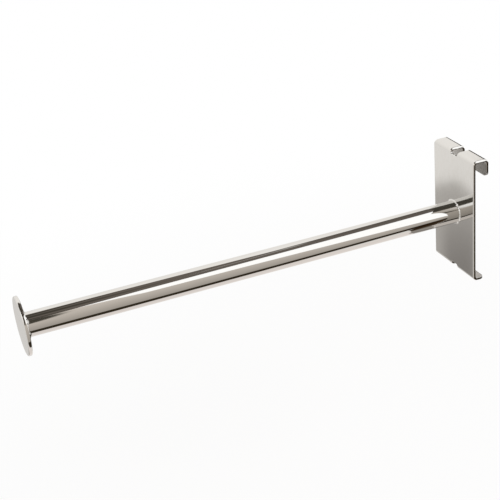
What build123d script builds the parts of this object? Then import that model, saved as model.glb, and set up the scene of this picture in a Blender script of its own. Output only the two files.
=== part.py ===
"""A gridwall faceout: a folded hook plate, a straight round arm and an end disc, welded together.

Sizes are in millimetres. The back of the plate is the plane Y = 0, with the wire grid behind it.
The arm runs forward along -Y, +Z is up, and the origin is on the arm's axis.
"""
from build123d import *
import os

# Sheet steel of the plate
sheet = 1.75
bend_radius = 3.0
sheet_edge_break = 0.3

# Plate, seen from the front
plate_width = 50.8
plate_height = 88.9
arm_below_centre = 1.1

# Top hook, which hangs on a grid wire
hook_gap = 8.2
hook_drop = 12.7
hook_corner_radius = 3.2

# Bottom lip, which passes under the next wire down
lip_reach = 6.6
lip_corner_radius = 2.8

# Notches in hook and lip, which leave room for the grid's upright wire
notch_width = 7.9
notch_depth = 3.2
notch_corner_radius = 1.2

# Arm
tube_diameter = 15.875
tube_wall = 1.2
arm_length = 304.8

# End disc
disc_diameter = 38.1
disc_thickness = 2.4
disc_front_radius = 0.8
disc_back_break = 0.3

# Weld beads round both ends of the arm. The crown stands out by a share of the leg, 0.5 if flat
plate_bead_leg = 1.0
disc_bead_leg = 1.6
bead_crown_share = 0.63

# Places that follow from the sizes
plate_front = -sheet
plate_top = plate_height / 2 + arm_below_centre
plate_bottom = plate_top - plate_height
hook_back = hook_gap + sheet
hook_end = plate_top - hook_drop
arm_end = plate_front - arm_length
tube_radius = tube_diameter / 2
beyond_sheet = hook_back + lip_reach

# Limits for finding edges: how near a place, and how far from smooth
place_tolerance = 0.01
sharp_angle = 45


def folded_section():
    """Section of the folded sheet, drawn along the middle of its thickness from hook to lip."""
    middle = sheet / 2
    line = FilletPolyline(
        (hook_back - middle, hook_end),
        (hook_back - middle, plate_top - middle),
        (plate_front + middle, plate_top - middle),
        (plate_front + middle, plate_bottom + middle),
        (lip_reach, plate_bottom + middle),
        radius=bend_radius - middle,
    )
    return Plane.YZ * trace(line, line_width=sheet)


def notch_at(edge_height):
    """Cutter for a notch with rounded inner corners, centred on the plate's top or bottom edge."""
    outline = RectangleRounded(notch_width, 2 * notch_depth, notch_corner_radius)
    return Pos(0, 0, edge_height) * extrude(Plane.XZ * outline, amount=beyond_sheet, both=True)


def hook_split():
    """Cutter that carries the top notch on down through the hanging end of the hook."""
    return Pos(0, hook_back, hook_end) * Box(notch_width, hook_gap, 2 * hook_drop)


def outer_corners(plate, through_sheet, along, place):
    """The leftmost and rightmost edges through the sheet's thickness at one place along an axis."""
    nearest = place - place_tolerance
    farthest = place + place_tolerance
    corners = plate.edges().filter_by(through_sheet).filter_by_position(along, nearest, farthest)
    return [corners.sort_by(Axis.X)[0], corners.sort_by(Axis.X)[-1]]


def sharp_edges(solid):
    """Edges where two faces meet at an angle, which leaves out the smooth lines beside each bend."""
    faces_of = {}
    for face in solid.faces():
        for edge in face.edges():
            faces_of.setdefault(edge, []).append(face)
    sharp = []
    for edge, (first, second) in faces_of.items():
        middle = edge @ 0.5
        if first.normal_at(middle).get_angle(second.normal_at(middle)) > sharp_angle:
            sharp.append(edge)
    return sharp


def back_plate():
    """One strip of sheet, notched, folded into hook and lip, with rounded corners and broken edges."""
    plate = extrude(folded_section(), amount=plate_width / 2, both=True)
    plate -= notch_at(plate_top) + notch_at(plate_bottom) + hook_split()
    plate = fillet(outer_corners(plate, Axis.Y, Axis.Z, hook_end), hook_corner_radius)
    plate = fillet(outer_corners(plate, Axis.Z, Axis.Y, lip_reach), lip_corner_radius)
    return chamfer(sharp_edges(plate), sheet_edge_break)


def arm_tube():
    """Plain round tube, cut square, from the front of the plate to the back of the disc."""
    section = Circle(tube_radius) - Circle(tube_radius - tube_wall)
    return extrude(Plane.XZ.offset(-plate_front) * section, amount=arm_length)


def end_disc():
    """Flat round stop that keeps hangers on the arm, with a well rounded edge on its front."""
    disc = extrude(Plane.XZ.offset(-arm_end) * Circle(disc_diameter / 2), amount=disc_thickness)
    disc = fillet(disc.edges().filter_by(GeomType.CIRCLE).sort_by(Axis.Y)[0], disc_front_radius)
    return chamfer(disc.edges().filter_by(GeomType.CIRCLE).sort_by(Axis.Y)[-1], disc_back_break)


def weld_bead(seat, leg, towards_arm):
    """Ring of weld with a slightly bulged face, between the tube and the flat face at seat."""
    root = (tube_radius, seat)
    toe_on_flat = (tube_radius + leg, seat)
    toe_on_tube = (tube_radius, seat + towards_arm * leg)
    out = leg * bead_crown_share
    crown = (tube_radius + out, seat + towards_arm * out)
    outline = Polyline(toe_on_tube, root, toe_on_flat) + ThreePointArc(toe_on_flat, crown, toe_on_tube)
    return revolve(make_face(outline), axis=Axis.Y)


pieces = {
    "back_plate": back_plate(),
    "arm_tube": arm_tube(),
    "end_disc": end_disc(),
    "plate_weld": weld_bead(plate_front, plate_bead_leg, -1),
    "disc_weld": weld_bead(arm_end, disc_bead_leg, 1),
}

os.makedirs("parts", exist_ok=True)
for name, piece in pieces.items():
    export_step(piece, f"parts/{name}.step")
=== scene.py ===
import math
from itertools import pairwise

import bmesh
import bpy
from bpy.props import FloatProperty, FloatVectorProperty, IntProperty, PointerProperty
from mathutils import Matrix, Vector, noise


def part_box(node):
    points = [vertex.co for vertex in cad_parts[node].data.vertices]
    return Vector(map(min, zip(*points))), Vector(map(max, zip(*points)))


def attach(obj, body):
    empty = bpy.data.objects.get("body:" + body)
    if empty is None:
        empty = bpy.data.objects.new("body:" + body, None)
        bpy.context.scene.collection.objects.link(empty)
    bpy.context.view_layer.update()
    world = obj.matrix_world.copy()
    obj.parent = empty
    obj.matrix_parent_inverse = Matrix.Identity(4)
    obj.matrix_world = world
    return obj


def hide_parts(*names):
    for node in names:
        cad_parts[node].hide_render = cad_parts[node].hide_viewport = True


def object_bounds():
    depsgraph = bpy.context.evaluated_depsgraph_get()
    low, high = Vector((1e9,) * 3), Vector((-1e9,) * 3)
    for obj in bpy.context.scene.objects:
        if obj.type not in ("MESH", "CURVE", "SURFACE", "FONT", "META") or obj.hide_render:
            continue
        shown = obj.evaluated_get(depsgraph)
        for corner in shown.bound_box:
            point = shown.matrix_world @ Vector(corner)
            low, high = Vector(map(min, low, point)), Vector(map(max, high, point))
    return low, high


bl_info = {
    "name": "Gridwall Faceout",
    "version": (1, 0, 0),
    "blender": (4, 5, 0),
    "location": "3D View > Sidebar > Faceout",
    "description": "Dresses the packed gridwall faceout with finished meshes, chrome and a studio",
    "category": "Object",
}

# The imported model. The plate's back is the plane Y = 0, the arm runs along -Y and +Z is up.
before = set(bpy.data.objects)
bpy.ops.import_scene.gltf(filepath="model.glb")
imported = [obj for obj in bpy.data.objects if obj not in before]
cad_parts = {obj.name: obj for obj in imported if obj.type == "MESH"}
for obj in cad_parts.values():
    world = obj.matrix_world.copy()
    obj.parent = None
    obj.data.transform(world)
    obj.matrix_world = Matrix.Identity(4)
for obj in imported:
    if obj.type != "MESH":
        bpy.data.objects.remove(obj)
cad_low, cad_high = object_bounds()
plate_low, plate_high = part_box("back_plate")
tube_low, tube_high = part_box("arm_tube")
disc_low, disc_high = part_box("end_disc")
plate_bead_low, plate_bead_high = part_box("plate_weld")
disc_bead_low, disc_bead_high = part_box("disc_weld")

MM = 0.001
RIGHT_ANGLE = math.pi / 2
BODY = "root"
# The mesh attribute for the folds' thinner plating, whose darker tone is partly painted shade
THIN_AND_SHADE = "thin_plating_and_shade"
# How much rougher the plating is inside the folds, where it is thinner, than the rest
THIN_ROUGHNESS = 0.25
# Nearly all values of a noise texture lie between these
NOISE_RANGE = (0.3, 0.7)
# Faces that meet at a greater angle keep a sharp edge
SHARP_ANGLE = math.radians(50)


def to_linear(hex_colour):
    """Turn an sRGB hex colour, written as rrggbb, into Blender's linear red, green and blue."""
    linear = []
    for start in (0, 2, 4):
        level = int(hex_colour[start:start + 2], 16) / 255
        linear.append(level / 12.92 if level <= 0.04045 else ((level + 0.055) / 1.055) ** 2.4)
    return tuple(linear)


def length(name, description, default):
    """A length property in metres."""
    return FloatProperty(
        name=name, description=description, default=default, min=0.0, precision=5,
        unit="LENGTH", subtype="DISTANCE",
    )


def ratio(name, description, default):
    """A property without a unit."""
    return FloatProperty(name=name, description=description, default=default, min=0.0)


def colour(name, description, hex_colour):
    """A colour property, from its sRGB hex value."""
    return FloatVectorProperty(
        name=name, description=description, default=to_linear(hex_colour), min=0.0, max=1.0,
        size=3, subtype="COLOR",
    )


class FaceoutSizes(bpy.types.PropertyGroup):
    """Sizes of the faceout's pieces."""

    plate_width: length("Plate width", "Width of the plate", plate_high.x - plate_low.x)
    plate_height: length("Plate height", "Height over both folds", plate_high.z - plate_low.z)
    plate_top: length("Plate top", "Height of the plate's top above the arm's axis", plate_high.z)
    sheet: length("Sheet", "Thickness of the sheet steel", -plate_low.y)
    bend_radius: length("Bend radius", "Outside radius of each fold", 3.0 * MM)
    front_edge: length("Front edge", "Rounding of the cut edges on the plate's front", 0.55 * MM)
    top_edge: length("Top edge", "Bevel of the cut edges on top of the hook", 1.0 * MM)
    fine_edge: length("Fine edge", "Rounding of the other cut edges", 0.2 * MM)
    hook_reach: length("Hook reach", "From the plate's back to the hook's back", plate_high.y)
    hook_drop: length("Hook drop", "Height of the hook, from its top to its lower end", 12.7 * MM)
    hook_corner: length("Hook corner", "Radius of the hook's lower outer corners", 3.2 * MM)
    lip_reach: length("Lip reach", "How far the lip goes behind the plate's back", 6.6 * MM)
    lip_corner: length("Lip corner", "Radius of the lip's outer corners", 2.8 * MM)
    notch_width: length("Notch width", "Width of the notches in hook and lip", 7.9 * MM)
    notch_depth: length("Notch depth", "Depth of the notches in the plate's front", 3.2 * MM)
    notch_corner: length("Notch corner", "Radius of the notches' inner corners", 1.2 * MM)
    ear_corner: length("Ear corner", "Rounding of hook and lip beside the notch", 0.5 * MM)
    tube_diameter: length("Tube diameter", "Outside diameter of the arm", tube_high.x - tube_low.x)
    tube_wall: length("Tube wall", "Wall of the arm's tube", 1.2 * MM)
    disc_diameter: length("Disc diameter", "Diameter of the end disc", disc_high.x - disc_low.x)
    disc_front_radius: length("Disc front radius", "Rounding of the disc's outer edge", 0.8 * MM)
    disc_back_radius: length("Disc back radius", "Rounding of the disc's inner edge", 0.3 * MM)
    plate_bead: length(
        "Plate bead", "Leg of the weld bead at the plate", plate_bead_high.y - plate_bead_low.y
    )
    disc_bead: length(
        "Disc bead", "Leg of the weld bead at the disc", disc_bead_high.y - disc_bead_low.y
    )
    plate_bead_foot: ratio(
        "Plate bead foot", "Reach of the plate's bead along the tube, as a share of its leg", 0.5
    )
    bead_bulge: ratio("Bead bulge", "How far a bead bulges, as a share of its leg", 0.18)
    bead_unevenness: ratio(
        "Bead unevenness", "How strongly a bead's size varies round the tube", 1.2
    )
    bead_ripple: ratio("Bead ripple", "Height of a bead's ripples, as a share of its leg", 0.08)
    ripples: IntProperty(name="Ripples", description="Ripples round a bead", default=30, min=3)


class FaceoutColours(bpy.types.PropertyGroup):
    """Colours of the faceout's plating and of the studio round it."""

    chrome: colour("Chrome", "Bright chrome plate", "D4D4D3")
    chrome_warm: colour("Warm chrome", "Chrome where the nickel below shows through", "D1CFCB")
    # Its darker tone inside the folds is partly thinner plating and partly painted shade of the
    # recess
    nickel: colour("Nickel", "Thin plating inside the folds, where the nickel shows", "C6C4C1")
    floor: colour("Floor", "Pale studio floor", "F2F2F2")


def add_node(tree, kind, inputs=None, **settings):
    """Add a node with its settings. An input that is given a socket is linked to it."""
    node = tree.nodes.new(kind)
    for name, value in settings.items():
        setattr(node, name, value)
    for key, value in (inputs or {}).items():
        if isinstance(value, bpy.types.NodeSocket):
            tree.links.new(value, node.inputs[key])
        else:
            node.inputs[key].default_value = value
    return node


def mixed(tree, share, first, second):
    """Mix two colours and return the result's socket."""
    mix = add_node(tree, "ShaderNodeMix", {0: share, 6: first, 7: second}, data_type="RGBA")
    return mix.outputs[2]


def chrome_material(name, colours, grain, roughness, wave_size, wave_height, bow=0.0, thin_and_shaded=False):
    """Decorative chrome over nickel on steel, with the finish of the steel below it.

    grain is the size of the polishing haze along each axis in metres. The real haze is finer than
    a render shows, so it is drawn coarser. roughness is its least and greatest value, and
    wave_size and wave_height describe the steel's own unevenness. bow is how much a face falls
    away from the middle, in metres at one metre to the side. The last argument is for a piece
    that tells where its plating is thinner and darker inside the folds; that darkening is partly
    painted shade.
    """
    material = bpy.data.materials.new(name)
    material.use_nodes = True
    tree = material.node_tree
    tree.nodes.clear()
    place = add_node(tree, "ShaderNodeTexCoord").outputs["Object"]
    along_grain = add_node(
        tree, "ShaderNodeMapping", {"Vector": place, "Scale": [1 / size for size in grain]}
    ).outputs["Vector"]
    haze = add_node(
        tree, "ShaderNodeTexNoise", {"Vector": along_grain, "Scale": 1.0, "Detail": 3.0}
    ).outputs["Fac"]
    dull = add_node(
        tree, "ShaderNodeMapRange",
        {"Value": haze, "From Min": NOISE_RANGE[0], "From Max": NOISE_RANGE[1],
         "To Min": roughness[0], "To Max": roughness[1]},
    ).outputs["Result"]
    tone = mixed(tree, haze, (*colours.chrome, 1), (*colours.chrome_warm, 1))
    if thin_and_shaded:
        share = add_node(tree, "ShaderNodeAttribute", attribute_name=THIN_AND_SHADE).outputs["Fac"]
        dull = add_node(
            tree, "ShaderNodeMath", {0: share, 1: THIN_ROUGHNESS, 2: dull},
            operation="MULTIPLY_ADD",
        ).outputs["Value"]
        # Inside the folds the tone goes to the darker nickel: thinner plating, and partly painted
        # shade
        tone = mixed(tree, share, tone, (*colours.nickel, 1))
    wave = add_node(
        tree, "ShaderNodeTexNoise", {"Vector": place, "Scale": 1 / wave_size, "Detail": 1.0}
    ).outputs["Fac"]
    height = add_node(
        tree, "ShaderNodeMath", {0: wave, 1: wave_height}, operation="MULTIPLY"
    ).outputs["Value"]
    if bow:
        across = add_node(tree, "ShaderNodeSeparateXYZ", {"Vector": place}).outputs["X"]
        squared = add_node(
            tree, "ShaderNodeMath", {0: across, 1: across}, operation="MULTIPLY"
        ).outputs["Value"]
        height = add_node(
            tree, "ShaderNodeMath", {0: squared, 1: -bow, 2: height}, operation="MULTIPLY_ADD"
        ).outputs["Value"]
    bump = add_node(
        tree, "ShaderNodeBump", {"Height": height, "Distance": 1.0}
    ).outputs["Normal"]
    shader = add_node(
        tree, "ShaderNodeBsdfPrincipled",
        {"Base Color": tone, "Metallic": 1.0, "Roughness": dull, "Normal": bump},
    ).outputs["BSDF"]
    add_node(tree, "ShaderNodeOutputMaterial", {"Surface": shader})
    return material


def add_piece(name, mesh_data, material, node):
    """Make a smooth piece in place of a CAD node, riding on the one body.

    mesh_data holds vertices and faces, and may hold, for each vertex, how far it takes the thinner
    and darker plating of the folds, whose darkening is partly painted shade.
    """
    vertices, faces, *thin_and_shaded = mesh_data
    mesh = bpy.data.meshes.new(name)
    mesh.from_pydata(vertices, [], faces)
    if thin_and_shaded:
        mesh.attributes.new(THIN_AND_SHADE, "FLOAT", "POINT").data.foreach_set("value", thin_and_shaded[0])
    shaping = bmesh.new()
    shaping.from_mesh(mesh)
    bmesh.ops.recalc_face_normals(shaping, faces=shaping.faces)
    shaping.to_mesh(mesh)
    shaping.free()
    mesh.shade_smooth()
    mesh.set_sharp_from_angle(angle=SHARP_ANGLE)
    mesh.materials.append(material)
    piece = bpy.data.objects.new(name, mesh)
    bpy.context.scene.collection.objects.link(piece)
    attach(piece, BODY)
    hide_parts(node)


def spread(first, last, steps):
    """Evenly spaced values from first to last, with both of them."""
    return [first + (last - first) * step / steps for step in range(steps + 1)]


class Blank:
    """The plate's flat blank, from the hook's lower end to the lip's end, and how it is folded."""

    # Steps round a corner and round the rim, and the longest steps in a fold and on a flat run
    corner_steps = 8
    rim_steps = 5
    bend_step = 0.22 * MM
    flat_step = 3 * MM
    # Narrow faces beside folds and rim, which keep their shading off the flat faces
    support = 0.08 * MM
    # How far from a fold the plating inside is as thick as elsewhere, and its painted shade has
    # faded
    shelter = 8 * MM
    # Distance from a notch to the plate's own rows
    past_notch = 2 * MM
    # Columns on each side of a notch, and across it
    side_columns = 12
    middle_columns = 4
    # Lengths that differ by less than this are the same
    tolerance = 1e-7

    def __init__(self, sizes):
        self.sizes = sizes
        self.middle_radius = sizes.bend_radius - sizes.sheet / 2
        self.bend = RIGHT_ANGLE * self.middle_radius
        self.runs = (
            sizes.hook_drop - sizes.bend_radius,
            sizes.hook_reach + sizes.sheet - 2 * sizes.bend_radius,
            sizes.plate_height - 2 * sizes.bend_radius,
            sizes.lip_reach + sizes.sheet - sizes.bend_radius,
        )
        self.length = sum(self.runs) + 3 * self.bend
        self.flat_start = self.runs[0] + self.runs[1] + 2 * self.bend
        self.flat_end = self.flat_start + self.runs[2]
        into_flat = sizes.notch_depth - sizes.bend_radius
        self.notch_ends = (self.flat_start + into_flat, self.flat_end - into_flat)

    def folded(self, across, along, lift):
        """Place of a blank's point after folding. lift is outwards from the sheet's middle."""
        y = self.sizes.hook_reach - self.sizes.sheet / 2
        z = self.sizes.plate_top - self.sizes.hook_drop
        turned = 0.0
        for run in self.runs:
            step = min(along, run) if run != self.runs[-1] else along
            y -= math.sin(turned) * step
            z += math.cos(turned) * step
            along -= step
            if along <= 0:
                break
            bend = min(along, self.bend)
            y -= math.cos(turned) * self.middle_radius
            z -= math.sin(turned) * self.middle_radius
            turned += bend / self.middle_radius
            y += math.cos(turned) * self.middle_radius
            z += math.sin(turned) * self.middle_radius
            along -= bend
        return across, y + math.cos(turned) * lift, z + math.sin(turned) * lift

    def plain_rows(self, first, last):
        """Row places between two rows, close together in the bends and beside them."""
        rows = []
        start = 0.0
        for run in self.runs:
            end = start + run
            count = max(1, round((run - 2 * self.support) / self.flat_step))
            rows += spread(start + self.support, end - self.support, count)
            rows += spread(end, end + self.bend, math.ceil(self.bend / self.bend_step))
            start = end + self.bend
        return [row for row in rows if first + self.support / 2 < row < last - self.support / 2]

    def near_run(self, index, along):
        """How much a row belongs to one flat run, from 1 on it to 0 beyond the folds beside it."""
        start = sum(self.runs[:index]) + index * self.bend
        beyond = max(start - along, along - start - self.runs[index], 0.0)
        return max(0.0, 1 - beyond / self.bend)

    def rim(self, side, along, turn):
        """(inset, depth) on the rim at a row: rounded, but bevelled outside on the hook's top."""
        s = self.sizes
        if side < 0:
            return s.fine_edge * (1 - math.sin(turn)), s.fine_edge * (1 - math.cos(turn))
        top, front = self.near_run(1, along), self.near_run(2, along)
        part = turn / RIGHT_ANGLE
        size = s.fine_edge + (s.top_edge - s.fine_edge) * top + (s.front_edge - s.fine_edge) * front
        inset = (1 - top) * (1 - math.sin(turn)) + top * (1 - part)
        depth = (1 - top) * (1 - math.cos(turn)) + top * part
        return size * inset, size * depth

    def rows(self, side, turn, past):
        """Rows of one layer of the rounded rim: (along, inner, outer, lift), as half widths.

        side is 1 on the outside of the folds and -1 on the inside. turn goes from 0 at the face
        to a right angle at the cut. past is how far the layer lies beyond the rounding.
        """
        s = self.sizes
        half, notch = s.plate_width / 2, s.notch_width / 2

        def inset(along):
            return self.rim(side, along, turn)[0] + past * math.cos(turn)

        def row(along, inner, outer):
            depth = self.rim(side, along, turn)[1] + past * math.sin(turn)
            if inner is None:
                inner = self.beside_notch(along, inset(along))
            return along, inner, outer, side * (s.sheet / 2 - depth)

        angles = spread(0, RIGHT_ANGLE, self.corner_steps)
        first_notch, last_notch = self.notch_ends
        rows = []
        corner = s.hook_corner - inset(0)
        for angle in angles:
            outer = half - s.hook_corner + corner * math.sin(angle)
            rows.append(row(s.hook_corner - corner * math.cos(angle), None, outer))
        for along in self.plain_rows(s.hook_corner, first_notch - s.notch_corner):
            rows.append(row(along, None, half - inset(along)))
        centres = (first_notch - s.notch_corner, last_notch + s.notch_corner)
        between = self.plain_rows(first_notch + self.past_notch, last_notch - self.past_notch)
        for centre, direction in zip(centres, (1, -1)):
            if direction < 0:
                for along in between:
                    rows.append(row(along, notch - s.notch_corner, half - inset(along)))
            corner = s.notch_corner + inset(centre)
            for angle in angles[::direction]:
                along = centre + direction * corner * math.sin(angle)
                inner = notch - s.notch_corner + corner * math.cos(angle)
                rows.append(row(along, inner, half - inset(along)))
        for along in self.plain_rows(last_notch + s.notch_corner, self.length - s.lip_corner):
            rows.append(row(along, None, half - inset(along)))
        corner = s.lip_corner - inset(self.length)
        for angle in angles:
            outer = half - s.lip_corner + corner * math.cos(angle)
            rows.append(row(self.length - s.lip_corner + corner * math.sin(angle), None, outer))
        return rows

    def beside_notch(self, along, inset):
        """Half the distance between the ears at a row, with the rounding of their corners."""
        s = self.sizes
        from_end = min(along, self.length - along)
        if inset < s.ear_corner and from_end < s.ear_corner:
            rise = math.sqrt(max(0.0, (s.ear_corner - inset) ** 2 - (s.ear_corner - from_end) ** 2))
            return s.notch_width / 2 + s.ear_corner - rise
        return s.notch_width / 2 + inset

    def columns(self, inner, outer):
        """Places across one row, from the left edge to the right one."""
        left = spread(-outer, -inner, self.side_columns)
        middle = spread(-inner, inner, self.middle_columns)[1:-1]
        right = spread(inner, outer, self.side_columns)
        return left + middle + right

    def sheltered(self, along):
        """How much a row's inner side lies in a fold, from 0 in the open to 1 in hook or lip. It
        sets the folds' thinner and darker plating, whose darkening is partly painted shade.
        """
        into_flat = min(along - self.flat_start, self.flat_end - along)
        return 1 - min(max(into_flat / self.shelter, 0.0), 1.0)

    def in_notch(self, row, rows):
        """Whether the middle of the blank is open at a row."""
        narrow = self.sizes.notch_width / 2 - self.sizes.notch_corner
        return rows[row][1] > narrow + self.tolerance


def folded_sheet(sizes):
    """Mesh of the folded plate: both faces as grids, joined by a rounded rim in layers."""
    blank = Blank(sizes)
    rim_steps = [(0.0, blank.support)]
    rim_steps += [(turn, 0.0) for turn in spread(0, RIGHT_ANGLE, blank.rim_steps)]
    rim_steps += [(RIGHT_ANGLE, blank.support)]
    layers = [blank.rows(1, turn, past) for turn, past in rim_steps]
    layers += [blank.rows(-1, turn, past) for turn, past in reversed(rim_steps)]
    last = len(layers) - 1
    rows = layers[0]
    across = blank.side_columns * 2 + blank.middle_columns
    open_rows = [blank.in_notch(row, rows) for row in range(len(rows))]
    middle = range(blank.side_columns, blank.side_columns + blank.middle_columns)
    quads = []
    for row in range(len(rows) - 1):
        for column in range(across):
            if column in middle and (open_rows[row] or open_rows[row + 1]):
                continue
            following = row + 1
            quads.append(
                ((row, column), (row, column + 1), (following, column + 1), (following, column))
            )
    used = {}
    for quad in quads:
        for edge in zip(quad, quad[1:] + quad[:1]):
            used.setdefault(frozenset(edge), []).append(edge)
    rim = [edges[0] for edges in used.values() if len(edges) == 1]
    places, vertices, faces, thin_and_shaded = {}, [], [], []

    def vertex(layer, spot):
        if (layer, spot) not in places:
            along, inner, outer, lift = layers[layer][spot[0]]
            places[layer, spot] = len(vertices)
            vertices.append(blank.folded(blank.columns(inner, outer)[spot[1]], along, lift))
            # The inner face takes the folds' thinner and darker plating, whose darkening is partly
            # painted shade
            thin_and_shaded.append(blank.sheltered(along) if layer == last else 0.0)
        return places[layer, spot]

    for quad in quads:
        faces.append([vertex(0, spot) for spot in quad])
        faces.append([vertex(last, spot) for spot in reversed(quad)])
    for one, other in rim:
        for layer in range(last):
            faces.append((vertex(layer, one), vertex(layer, other),
                          vertex(layer + 1, other), vertex(layer + 1, one)))
    return vertices, faces, thin_and_shaded


def turned(profile, steps, closed, shift=None):
    """Mesh of a profile of (radius, y) points turned round the arm's axis.

    closed joins the profile's ends, otherwise they lie on the axis. shift gives a point's own
    radius and y from its angle and its place in the profile.
    """
    vertices, rings = [], []
    for index, (radius, y) in enumerate(profile):
        if radius == 0:
            rings.append([len(vertices)] * steps)
            vertices.append((0, y, 0))
            continue
        rings.append(range(len(vertices), len(vertices) + steps))
        for step in range(steps):
            angle = 2 * math.pi * step / steps
            size, along = shift(angle, index) if shift else (radius, y)
            vertices.append((size * math.cos(angle), along, size * math.sin(angle)))
    faces = []
    around = list(pairwise(rings)) + ([(rings[-1], rings[0])] if closed else [])
    for one, other in around:
        for step in range(steps):
            following = (step + 1) % steps
            face = [one[step], one[following], other[following], other[step]]
            faces.append(list(dict.fromkeys(face)))
    return vertices, faces


class FACEOUT_OT_back_plate(bpy.types.Operator):
    """Fold the back plate with its hook and lip"""

    bl_idname = "faceout.back_plate"
    bl_label = "Back plate"

    def execute(self, context):
        scene = context.scene
        # Cold rolled sheet has a fine even grain, so its mirror image is a little soft. It is
        # never quite flat near folds and welds, which shows as waves about 22 mm long, and the
        # weld's heat has bowed it by less than half a millimetre. Little chrome reaches the inside
        # of the folds, so they are duller; they are also darker there, partly from that thinner
        # plating and partly as painted shade of the recess.
        chrome = chrome_material(
            "Chrome plate on cold rolled steel sheet", scene.faceout_colours,
            grain=(1.2 * MM, 1.2 * MM, 4 * MM), roughness=(0.06, 0.09),
            wave_size=22 * MM, wave_height=0.02 * MM, bow=0.7, thin_and_shaded=True,
        )
        sheet = folded_sheet(scene.faceout_sizes)
        add_piece("folded_plate", sheet, chrome, "back_plate")
        return {"FINISHED"}


class FACEOUT_OT_arm(bpy.types.Operator):
    """Make the arm's round tube"""

    bl_idname = "faceout.arm"
    bl_label = "Arm"

    segments = 160
    rows = 60

    def execute(self, context):
        scene = context.scene
        sizes = scene.faceout_sizes
        # Drawn tube is smooth along its length, so its reflections are sharp straight bands that
        # waver only slightly.
        chrome = chrome_material(
            "Chrome plate on drawn steel tube", scene.faceout_colours,
            grain=(2 * MM, 40 * MM, 2 * MM), roughness=(0.02, 0.05),
            wave_size=25 * MM, wave_height=0.01 * MM,
        )
        outer = sizes.tube_diameter / 2
        inner = outer - sizes.tube_wall
        profile = [(outer, y) for y in spread(tube_low.y, tube_high.y, self.rows)]
        profile += [(inner, tube_high.y), (inner, tube_low.y)]
        tube = turned(profile, self.segments, True)
        add_piece("round_arm", tube, chrome, "arm_tube")
        return {"FINISHED"}


class FACEOUT_OT_end_disc(bpy.types.Operator):
    """Make the disc that stops hangers at the arm's end"""

    bl_idname = "faceout.end_disc"
    bl_label = "End disc"

    segments = 160
    front_steps = 8
    back_steps = 4
    # Narrow flat rings that keep the shading of the rounded edges off the faces
    support = 0.08 * MM

    def execute(self, context):
        scene = context.scene
        sizes = scene.faceout_sizes
        # A blanked disc has a slightly hazy flat face and a bright rolled edge.
        chrome = chrome_material(
            "Chrome plate on blanked steel disc", scene.faceout_colours,
            grain=(1.5 * MM, 1.5 * MM, 1.5 * MM), roughness=(0.04, 0.1),
            wave_size=10 * MM, wave_height=0.01 * MM,
        )
        radius = sizes.disc_diameter / 2
        front, back = sizes.disc_front_radius, sizes.disc_back_radius
        profile = [(0, disc_low.y), (radius - front - self.support, disc_low.y)]
        for angle in spread(0, RIGHT_ANGLE, self.front_steps):
            profile.append((radius - front + front * math.sin(angle),
                            disc_low.y + front * (1 - math.cos(angle))))
        for angle in spread(0, RIGHT_ANGLE, self.back_steps):
            profile.append((radius - back + back * math.cos(angle),
                            disc_high.y - back + back * math.sin(angle)))
        profile += [(radius - back - self.support, disc_high.y), (0, disc_high.y)]
        disc = turned(profile, self.segments, False)
        add_piece("stop_disc", disc, chrome, "end_disc")
        return {"FINISHED"}


class FACEOUT_OT_welds(bpy.types.Operator):
    """Make the weld beads at both ends of the arm"""

    bl_idname = "faceout.welds"
    bl_label = "Weld beads"

    segments = 360
    steps = 10
    # How fast a bead's size varies round the tube, where each bead's variation is read from the
    # noise, and how much the ripples lean
    drift_detail = 2.5
    plate_drift = 0
    disc_drift = 65.25
    ripple_lag = 2.2

    def bead(self, sizes, leg, foot, seat, drift_place):
        """Mesh of one bead with low ripples.

        It covers leg on the flat at y = seat, and foot along the tube.
        """
        tube = sizes.tube_diameter / 2
        outwards = math.sqrt(0.5)
        profile = [(tube, seat)]
        swells = [0.0]
        for part in spread(0, 1, self.steps):
            swell = 4 * part * (1 - part)
            bulge = sizes.bead_bulge * swell * outwards
            profile.append((tube + leg * (part + bulge), seat + foot * (1 - part + bulge)))
            swells.append(swell)

        def uneven(angle, index):
            place = Vector((math.cos(angle), math.sin(angle), drift_place))
            drift = noise.noise(place * self.drift_detail)
            wave = math.cos(sizes.ripples * angle + self.ripple_lag * index / self.steps)
            share = 1 + sizes.bead_unevenness * drift
            ripple = leg * sizes.bead_ripple * swells[index] * wave
            radius, y = profile[index]
            return tube + (radius - tube) * share + ripple, seat + (y - seat) * share

        return turned(profile, self.segments, True, uneven)

    def execute(self, context):
        scene = context.scene
        sizes = scene.faceout_sizes
        # A weld bead keeps its ripples under the plating, which break the reflections up into
        # small bright spots.
        chrome = chrome_material(
            "Chrome plate on steel weld bead", scene.faceout_colours,
            grain=(1 * MM, 1 * MM, 1 * MM), roughness=(0.06, 0.14),
            wave_size=2.5 * MM, wave_height=0.12 * MM,
        )
        leg, foot = sizes.plate_bead, sizes.plate_bead * sizes.plate_bead_foot
        plate_bead = self.bead(sizes, leg, -foot, plate_low.y, self.plate_drift)
        leg = sizes.disc_bead
        disc_bead = self.bead(sizes, leg, leg, disc_high.y, self.disc_drift)
        add_piece("plate_bead", plate_bead, chrome, "plate_weld")
        add_piece("disc_bead", disc_bead, chrome, "disc_weld")
        return {"FINISHED"}


def block(left, right, low, high):
    """Corners of an upright patch of the surroundings, from azimuths and elevations."""
    return (left, low), (right, low), (right, high), (left, high)


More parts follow.
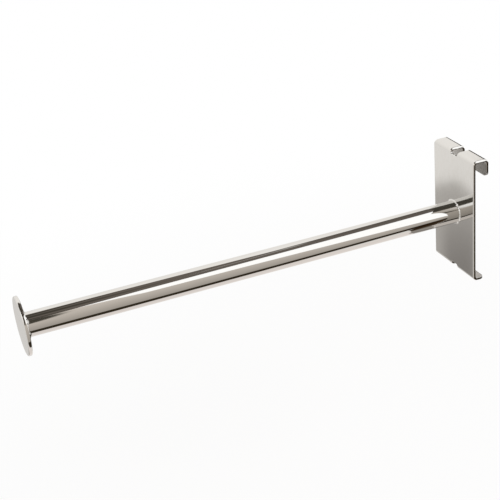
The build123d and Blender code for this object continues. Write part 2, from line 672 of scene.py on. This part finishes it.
class FACEOUT_OT_studio(bpy.types.Operator):
    """Set up the floor, the studio's surroundings, the lamps and the camera"""

    bl_idname = "faceout.studio"
    bl_label = "Studio"

    # The floor's depth below the object, how far it goes to each side, and its faint mottle
    floor_drop = 0.16
    floor_reach = 6.0
    mottle_size = 30 * MM
    mottle_shade = 0.995
    # To the camera the floor is nearly white round the object, and quite white further out
    fade_start = 0.25
    fade_end = 0.7
    least_white = 0.88

    # A sheet of grey card under the plate, glowing with painted light and shade. Its outline is
    # seen from the front, as (x, z) in millimetres, and its top lies just under the plate
    card_gap = 0.5 * MM
    card_left = -50
    card_right = 27
    card_outline = ((-44, -67), (11, -89), (65, -65), (66, -27), (48, -22), (37, -15), (27, -10))
    # Its painted light and shade follow x and some of z, over this range of metres
    card_slant = 0.4
    card_range = (-68 * MM, 47 * MM)
    # Painted light across the card: white in the light, a painted soft shadow of the arm and plate,
    # then dark brown
    card_painted_light = (
        (0.0, "FFFDFA"), (0.15, "CBC5C0"), (0.22, "AFA9A4"), (0.34, "8A847E"), (0.56, "AFA9A2"),
        (0.67, "968F88"), (0.76, "574A3C"), (0.83, "3A2C1C"), (1.0, "2E2010"),
    )

    # The one lamp, a softbox above and behind the object, in metres and watts
    lamp_place = Vector((0.9, 0.8, 1.0))
    lamp_size = (0.9, 0.7)
    lamp_power = 12

    # Where the lens stood, how it was turned in degrees, and its focal length and sensor in
    # millimetres
    camera_place = Vector((0.63946, -0.38693, 0.34716))
    camera_azimuth = 70.03
    camera_elevation = 26.282
    camera_roll = -5.488
    camera_lens = 83.86
    camera_sensor = 36.0

    # The surroundings that the chrome mirrors. Each patch is a convex outline of (azimuth,
    # elevation) corners in degrees, counter-clockwise, with azimuth 0 along -Y and 90 along +X,
    # then how soft its edge is in degrees, its colour, and its strength at its lower and its
    # upper end. A patch covers those before it.
    walls = ("FFFCF8", 1.03)
    patches = {
        "upper walls": (block(-181, 181, 0, 60), 8.0, "FFFCF8", (1.06, 1.25)),
        "far wall": (block(-107, -74, -50, -8), 14.0, "FFFCF8", (0.72, 0.74)),
        "ceiling": (
            ((-181, 76), (-101, 52.5), (181, 53.5), (181, 91), (-181, 91)),
            2.0, "766E67", (1.0, 1.0),
        ),
        "ceiling above the arm": (block(-115, 110, 61, 91), 6.0, "4C4840", (1.0, 1.0)),
        "top of the ceiling": (block(-181, 181, 78, 91), 8.0, "4C4840", (1.0, 1.0)),
        "dark back of the room": (
            ((-182, -36), (-136, -36), (-124, -16), (-121, -5), (-124.5, 30), (-133, 62),
             (-182, 75)),
            2.0, "6A635C", (0.2, 1.2),
        ),
        "window at the back": (block(-182, -143, -12, 18), 3.0, "FFFFFF", (1.6, 1.6)),
        "light floor": (block(-181, 181, -91, -50), 6.0, "FFF7F2", (1.0, 1.05)),
        "dark floor behind the right side": (
            ((128, -40), (146, -54.5), (162, -59.5), (182, -61), (182, -34), (128, -34)),
            3.0, "4C4840", (1.0, 1.0),
        ),
        "dark floor behind the left side": (
            ((-182, -61), (-162, -59.5), (-146, -54.5), (-132, -43), (-132, -34), (-182, -34)),
            3.0, "4C4840", (1.0, 1.0),
        ),
        "table": (
            ((-72, -62), (-25, -62), (-40, -27.5), (-55.3, -23.9), (-58, -23.4), (-61, -23.45),
             (-72, -24)),
            0.5, "FFFAF4", (0.5, 0.57),
        ),
        "arm's shadow on the table": (block(-62, -53, -62, -25.6), 5.0, "FFF8F2", (0.3, 0.3)),
        "dark gap before the table": (
            ((30, -45), (98, -65), (116, -65), (122.5, -56), (123.8, -10), (30, -10)),
            2.0, "3A3226", (1.0, 1.0),
        ),
        "dark doorway": (block(117, 145, -36, -12), 2.0, "3A3226", (1.0, 1.0)),
        "wall beside the doorway": (block(145, 182, -36, -14), 4.0, "6A635C", (0.6, 1.6)),
        "grey room behind the lens": (
            ((30, -39), (98, -39), (106, -38), (112.9, -31.9), (118.2, -19), (119.3, -5),
             (119.3, 57), (30, 57)),
            2.0, "FFF5EA", (0.48, 0.86),
        ),
        "softbox": (((119, 0), (170, 0), (170, 28), (110, 28)), 1.0, "FFFFFF", (1.55, 1.55)),
        "softbox's upper part": (
            ((104.9, 34.3), (111.6, 25.8), (170, 25.8), (170, 62), (117, 62), (107.2, 58.5)),
            1.0, "FFFFFF", (1.55, 1.55),
        ),
        "dark corner beside the softbox": (
            ((58, 28), (97.8, 28), (101, 40), (104.5, 59), (58, 59)), 2.0, "4C4840", (1.2, 1.0),
        ),
        "second softbox": (
            ((34, 30), (53, 30), (49, 46), (40, 53), (34, 53)), 7.0, "FFFFFF", (1.7, 1.7),
        ),
        "beam across the ceiling": (block(-62, 33, 46.5, 63), 2.0, "5C5850", (1.0, 1.0)),
        "flag beside the lamp": (block(-38, -16, 29, 49), 5.0, "4C4840", (1.0, 1.0)),
        "small lamp": (block(-7, 13, 26, 42), 4.0, "FFFFFF", (2.6, 2.6)),
    }

    def camera(self, scene):
        """Place the camera at the photograph's viewing angle."""
        azimuth, elevation, roll = (
            math.radians(angle)
            for angle in (self.camera_azimuth, self.camera_elevation, self.camera_roll)
        )
        back = Vector((math.sin(azimuth) * math.cos(elevation),
                       -math.cos(azimuth) * math.cos(elevation), math.sin(elevation)))
        level = Vector((math.cos(azimuth), math.sin(azimuth), 0))
        upright = back.cross(level)
        right = math.cos(roll) * level + math.sin(roll) * upright
        up = math.cos(roll) * upright - math.sin(roll) * level
        data = bpy.data.cameras.new("camera")
        data.lens = self.camera_lens
        data.sensor_width = self.camera_sensor
        camera = bpy.data.objects.new("camera", data)
        camera.matrix_world = Matrix.Translation(self.camera_place) @ Matrix(
            (right, up, back)).transposed().to_4x4()
        scene.collection.objects.link(camera)
        scene.camera = camera

    def surroundings(self, scene):
        """Make the world: white behind the object, and a studio for the chrome to mirror."""
        world = bpy.data.worlds.new("studio")
        scene.world = world
        world.use_nodes = True
        tree = world.node_tree
        tree.nodes.clear()
        direction = add_node(tree, "ShaderNodeTexCoord").outputs["Generated"]
        axes = add_node(tree, "ShaderNodeSeparateXYZ", {"Vector": direction}).outputs
        towards_camera = add_node(
            tree, "ShaderNodeMath", {0: axes["Y"], 1: -1.0}, operation="MULTIPLY"
        ).outputs["Value"]
        azimuth = add_node(
            tree, "ShaderNodeMath", {0: axes["X"], 1: towards_camera}, operation="ARCTAN2"
        ).outputs["Value"]
        elevation = add_node(
            tree, "ShaderNodeMath", {0: axes["Z"]}, operation="ARCSINE"
        ).outputs["Value"]
        angles = add_node(tree, "ShaderNodeCombineXYZ", {"X": azimuth, "Y": elevation, "Z": 1.0})
        angles = angles.outputs["Vector"]
        wall_colour, wall_strength = self.walls
        seen = (*[level * wall_strength for level in to_linear(wall_colour)], 1)
        for name, (corners, softness, hex_colour, strengths) in self.patches.items():
            inside = None
            for corner, following in zip(corners, corners[1:] + corners[:1]):
                start = Vector(corner)
                run = (Vector(following) - start).normalized()
                inwards = Vector((-run.y, run.x))
                reach = add_node(
                    tree, "ShaderNodeVectorMath",
                    {0: angles, 1: (inwards.x, inwards.y, -math.radians(inwards.dot(start)))},
                    operation="DOT_PRODUCT", label=name,
                ).outputs["Value"]
                edge = add_node(
                    tree, "ShaderNodeMapRange",
                    {"Value": reach, "From Min": -math.radians(softness) / 2,
                     "From Max": math.radians(softness) / 2},
                    interpolation_type="SMOOTHSTEP",
                ).outputs["Result"]
                inside = edge if inside is None else add_node(
                    tree, "ShaderNodeMath", {0: inside, 1: edge}, operation="MULTIPLY"
                ).outputs["Value"]
            heights = [math.radians(height) for _, height in corners]
            strength = add_node(
                tree, "ShaderNodeMapRange",
                {"Value": elevation, "From Min": min(heights), "From Max": max(heights),
                 "To Min": strengths[0], "To Max": strengths[1]},
            ).outputs["Result"]
            patch = add_node(
                tree, "ShaderNodeVectorMath", {0: to_linear(hex_colour), "Scale": strength},
                operation="SCALE",
            ).outputs["Vector"]
            seen = mixed(tree, inside, seen, patch)
        mirrored = add_node(tree, "ShaderNodeBackground", {"Color": seen, "Strength": 1.0})
        white = add_node(tree, "ShaderNodeBackground", {"Color": (1, 1, 1, 1), "Strength": 1.0})
        paths = add_node(tree, "ShaderNodeLightPath").outputs
        chosen = add_node(
            tree, "ShaderNodeMixShader",
            {0: paths["Is Camera Ray"], 1: mirrored.outputs["Background"],
             2: white.outputs["Background"]},
        ).outputs["Shader"]
        add_node(tree, "ShaderNodeOutputWorld", {"Surface": chosen})

    def floor(self, scene):
        """Lay a pale floor that is white to the camera, apart from the object's soft shadow."""
        z = cad_low.z - self.floor_drop
        reach = self.floor_reach
        mesh = bpy.data.meshes.new("studio_floor")
        corners = [(-reach, -reach, z), (reach, -reach, z), (reach, reach, z), (-reach, reach, z)]
        mesh.from_pydata(corners, [], [(0, 1, 2, 3)])
        material = bpy.data.materials.new("White seamless paper")
        material.use_nodes = True
        tree = material.node_tree
        tree.nodes.clear()
        place = add_node(tree, "ShaderNodeNewGeometry")
        from_object = add_node(
            tree, "ShaderNodeVectorMath", {0: place.outputs["Position"]}, operation="LENGTH"
        ).outputs["Value"]
        # Paper scatters light evenly. Its fibres are far too fine to show at this distance, so it
        # carries only a faint mottle, drawn much coarser than they are.
        mottle = add_node(
            tree, "ShaderNodeTexNoise",
            {"Vector": place.outputs["Position"], "Scale": 1 / self.mottle_size, "Detail": 2.0},
        ).outputs["Fac"]
        shade = add_node(
            tree, "ShaderNodeMapRange",
            {"Value": mottle, "To Min": self.mottle_shade, "To Max": 1.0},
        ).outputs["Result"]
        tint = add_node(
            tree, "ShaderNodeVectorMath",
            {0: scene.faceout_colours.floor[:], "Scale": shade}, operation="SCALE",
        ).outputs["Vector"]
        paper = add_node(tree, "ShaderNodeBsdfDiffuse", {"Color": tint}).outputs["BSDF"]
        white = add_node(tree, "ShaderNodeEmission", {"Color": (1, 1, 1, 1), "Strength": 1.0})
        fade = add_node(
            tree, "ShaderNodeMapRange",
            {"Value": from_object, "From Min": self.fade_start, "From Max": self.fade_end,
             "To Min": self.least_white, "To Max": 1.0},
            interpolation_type="SMOOTHSTEP",
        ).outputs["Result"]
        paths = add_node(tree, "ShaderNodeLightPath").outputs
        whiteness = add_node(
            tree, "ShaderNodeMath", {0: fade, 1: paths["Is Camera Ray"]}, operation="MULTIPLY"
        ).outputs["Value"]
        top = add_node(
            tree, "ShaderNodeMixShader", {0: whiteness, 1: paper, 2: white.outputs["Emission"]}
        ).outputs["Shader"]
        # From below the paper is clear, so that the object's underside can be looked at.
        clear = add_node(tree, "ShaderNodeBsdfTransparent").outputs["BSDF"]
        both = add_node(
            tree, "ShaderNodeMixShader", {0: place.outputs["Backfacing"], 1: top, 2: clear}
        ).outputs["Shader"]
        add_node(tree, "ShaderNodeOutputMaterial", {"Surface": both})
        mesh.materials.append(material)
        floor = bpy.data.objects.new("studio_floor", mesh)
        floor.visible_glossy = False
        scene.collection.objects.link(floor)

    def backing(self, scene):
        """Stand a sheet of grey card under the plate, which only the chrome shows. It is no lamp,
        but glows with its light and shade painted on.
        """
        y, top = plate_low.y / 2, (cad_low.z - self.card_gap) / MM
        corners = [(self.card_left, top), *self.card_outline, (self.card_right, top)]
        mesh = bpy.data.meshes.new("backing_card")
        mesh.from_pydata([(x * MM, y, z * MM) for x, z in corners], [], [range(len(corners))])
        material = bpy.data.materials.new("Grey card with painted light and shade")
        material.use_nodes = True
        tree = material.node_tree
        tree.nodes.clear()
        place = add_node(tree, "ShaderNodeNewGeometry")
        # Painted light: light from the left falls off across the card, with a painted soft shadow
        # of the arm and plate partway, and the card ends in dark brown.
        slanted = add_node(
            tree, "ShaderNodeVectorMath",
            {0: place.outputs["Position"], 1: (1.0, 0.0, self.card_slant)},
            operation="DOT_PRODUCT",
        ).outputs["Value"]
        share = add_node(
            tree, "ShaderNodeMapRange",
            {"Value": slanted, "From Min": self.card_range[0], "From Max": self.card_range[1]},
        ).outputs["Result"]
        ramp = add_node(tree, "ShaderNodeValToRGB", {"Fac": share})
        elements = ramp.color_ramp.elements
        for position, _ in self.card_painted_light[1:-1]:
            elements.new(position)
        for element, (position, hex_colour) in zip(elements, self.card_painted_light):
            element.position = position
            element.color = (*to_linear(hex_colour), 1)
        # The card glows with these painted shades instead of being lit
        glow = add_node(
            tree, "ShaderNodeEmission", {"Color": ramp.outputs["Color"], "Strength": 1.0}
        )
        clear = add_node(tree, "ShaderNodeBsdfTransparent").outputs["BSDF"]
        both = add_node(
            tree, "ShaderNodeMixShader",
            {0: place.outputs["Backfacing"], 1: glow.outputs["Emission"], 2: clear},
        ).outputs["Shader"]
        add_node(tree, "ShaderNodeOutputMaterial", {"Surface": both})
        mesh.materials.append(material)
        card = bpy.data.objects.new("backing_card", mesh)
        card.visible_camera = False
        card.visible_diffuse = False
        card.visible_shadow = False
        scene.collection.objects.link(card)

    def lamp(self, scene):
        """Hang a soft rectangular lamp, aimed at the middle of the object."""
        data = bpy.data.lights.new("key_softbox", "AREA")
        data.shape = "RECTANGLE"
        data.size, data.size_y = self.lamp_size
        data.energy = self.lamp_power
        lamp = bpy.data.objects.new("key_softbox", data)
        lamp.location = self.lamp_place
        middle = (cad_low + cad_high) / 2
        lamp.rotation_euler = (middle - lamp.location).to_track_quat("-Z", "Y").to_euler()
        lamp.visible_camera = False
        lamp.visible_glossy = False
        scene.collection.objects.link(lamp)

    def execute(self, context):
        scene = context.scene
        scene.view_settings.view_transform = "Standard"
        self.camera(scene)
        self.surroundings(scene)
        self.floor(scene)
        self.backing(scene)
        self.lamp(scene)
        return {"FINISHED"}


class VIEW3D_PT_faceout(bpy.types.Panel):
    """The faceout's sizes, colours and pieces"""

    bl_idname = "VIEW3D_PT_faceout"
    bl_label = "Gridwall Faceout"
    bl_space_type = "VIEW_3D"
    bl_region_type = "UI"
    bl_category = "Faceout"

    def draw(self, context):
        for group in (context.scene.faceout_sizes, context.scene.faceout_colours):
            box = self.layout.box()
            for name in group.bl_rna.properties.keys():
                if name not in ("rna_type", "name"):
                    box.prop(group, name)
        for maker in MAKERS:
            self.layout.operator(maker.bl_idname)


GROUPS = {"faceout_sizes": FaceoutSizes, "faceout_colours": FaceoutColours}
MAKERS = (
    FACEOUT_OT_back_plate, FACEOUT_OT_arm, FACEOUT_OT_end_disc, FACEOUT_OT_welds, FACEOUT_OT_studio,
)
CLASSES = (*GROUPS.values(), *MAKERS, VIEW3D_PT_faceout)


def register():
    """Register the classes, and give each scene its sizes and colours."""
    for kind in CLASSES:
        bpy.utils.register_class(kind)
    for name, group in GROUPS.items():
        setattr(bpy.types.Scene, name, PointerProperty(type=group))


def unregister():
    """Take away what register added."""
    for name in GROUPS:
        delattr(bpy.types.Scene, name)
    for kind in reversed(CLASSES):
        bpy.utils.unregister_class(kind)


def main():
    """Make every piece and the stage."""
    register()
    bpy.ops.faceout.back_plate()
    bpy.ops.faceout.arm()
    bpy.ops.faceout.end_disc()
    bpy.ops.faceout.welds()
    bpy.ops.faceout.studio()


if __name__ == "__main__":
    main()
